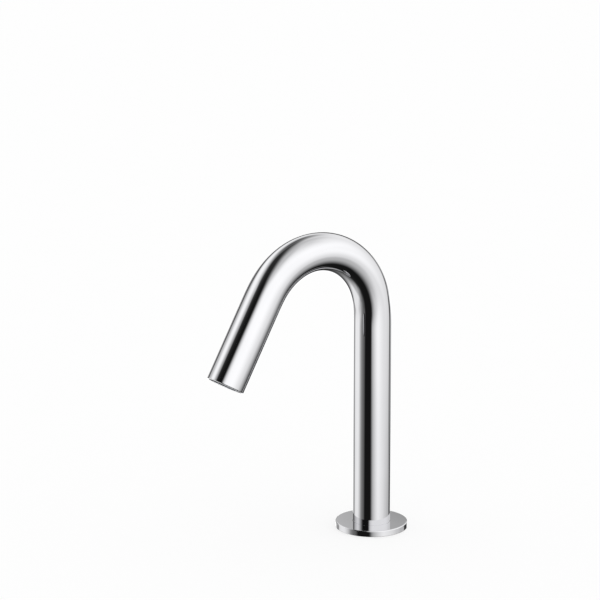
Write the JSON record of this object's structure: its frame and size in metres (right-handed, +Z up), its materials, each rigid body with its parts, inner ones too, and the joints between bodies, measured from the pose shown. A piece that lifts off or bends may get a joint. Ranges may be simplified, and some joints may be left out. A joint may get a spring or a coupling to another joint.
{
  "type": "sensor tap",
  "caption": "Slim chrome gooseneck sensor tap for a basin deck: bent tube on a round flange, sensor window and aerator in its mouth, threaded shank below.",
  "frame": {"origin": "centre of the base gasket's underside, on the surface of the deck that the tap stands on", "axes": "+Z up along the column; the spout reaches towards -Y, the user's side; +X is to the right of someone who looks along +Y"},
  "size_m": [0.048, 0.1534, 0.2785],
  "materials": {
    "chrome_plate": "chromium plate on polished brass",
    "turned_brass": "turned and threaded brass",
    "stainless_steel": "stamped stainless steel",
    "black_rubber": "moulded EPDM rubber",
    "dark_acetal": "moulded black acetal",
    "grey_acetal": "moulded grey acetal",
    "white_hose": "extruded cross-linked polyethylene",
    "cable_jacket": "extruded soft PVC",
    "smoked_window": "polished infrared-pass polycarbonate",
    "circuit_board": "solder-masked glass-epoxy board",
    "black_epoxy": "transfer-moulded epoxy"
  },
  "bodies": {
    "tap": {"spout_tube": "chrome_plate", "base_flange": "chrome_plate", "base_gasket": "black_rubber", "mounting_shank": "turned_brass", "bottom_plug": "dark_acetal", "inlet_nipple": "turned_brass", "cable_gland": "black_rubber", "water_hose": "white_hose", "hose_ferrules": "stainless_steel", "sensor_cable": "cable_jacket", "nozzle_block": "dark_acetal", "block_seal_ring": "black_rubber", "grub_screw": "stainless_steel", "sensor_window": "smoked_window", "window_seal": "black_rubber", "sensor_case": "dark_acetal", "case_cover": "dark_acetal", "ir_emitter": "black_epoxy", "ir_receiver": "black_epoxy", "light_barrier": "dark_acetal", "sensor_board": "circuit_board", "sensor_chip": "black_epoxy"},
    "clamp_washers": {"rubber_washer": "black_rubber", "steel_washer": "stainless_steel"},
    "fixing_nut": {"fixing_nut": "turned_brass"},
    "aerator_seal": {"aerator_seal": "black_rubber"},
    "aerator": {"aerator_shell": "grey_acetal", "outlet_mesh": "grey_acetal", "jet_plate": "grey_acetal", "flow_regulator": "grey_acetal", "regulator_ring": "black_rubber", "inlet_screen": "grey_acetal"}
  },
  "joints": [
    {"name": "washer_travel", "type": "slide", "parent": "tap", "child": "clamp_washers", "axis": [0, 0, 1], "range_m": [-0.018, 0.015]},
    {"name": "nut_turn", "type": "hinge", "parent": "clamp_washers", "child": "fixing_nut", "pos_m": [0, 0, -0.029], "axis": [0, 0, 1], "range_deg": [-4321, 3601]},
    {"name": "aerator_travel", "type": "slide", "parent": "tap", "child": "aerator_seal", "axis": [0, -0.5, -0.866], "range_m": [0, 0.01]},
    {"name": "aerator_turn", "type": "hinge", "parent": "aerator_seal", "child": "aerator", "pos_m": [0, -0.11553, 0.11398], "axis": [0, -0.5, -0.866], "range_deg": [0, 3601]}
  ],
  "couplings": [
    {"joint": "nut_turn", "follows": "washer_travel", "rad_per_m": 4188.8},
    {"joint": "aerator_turn", "follows": "aerator_travel", "rad_per_m": 6283.2}
  ]
}
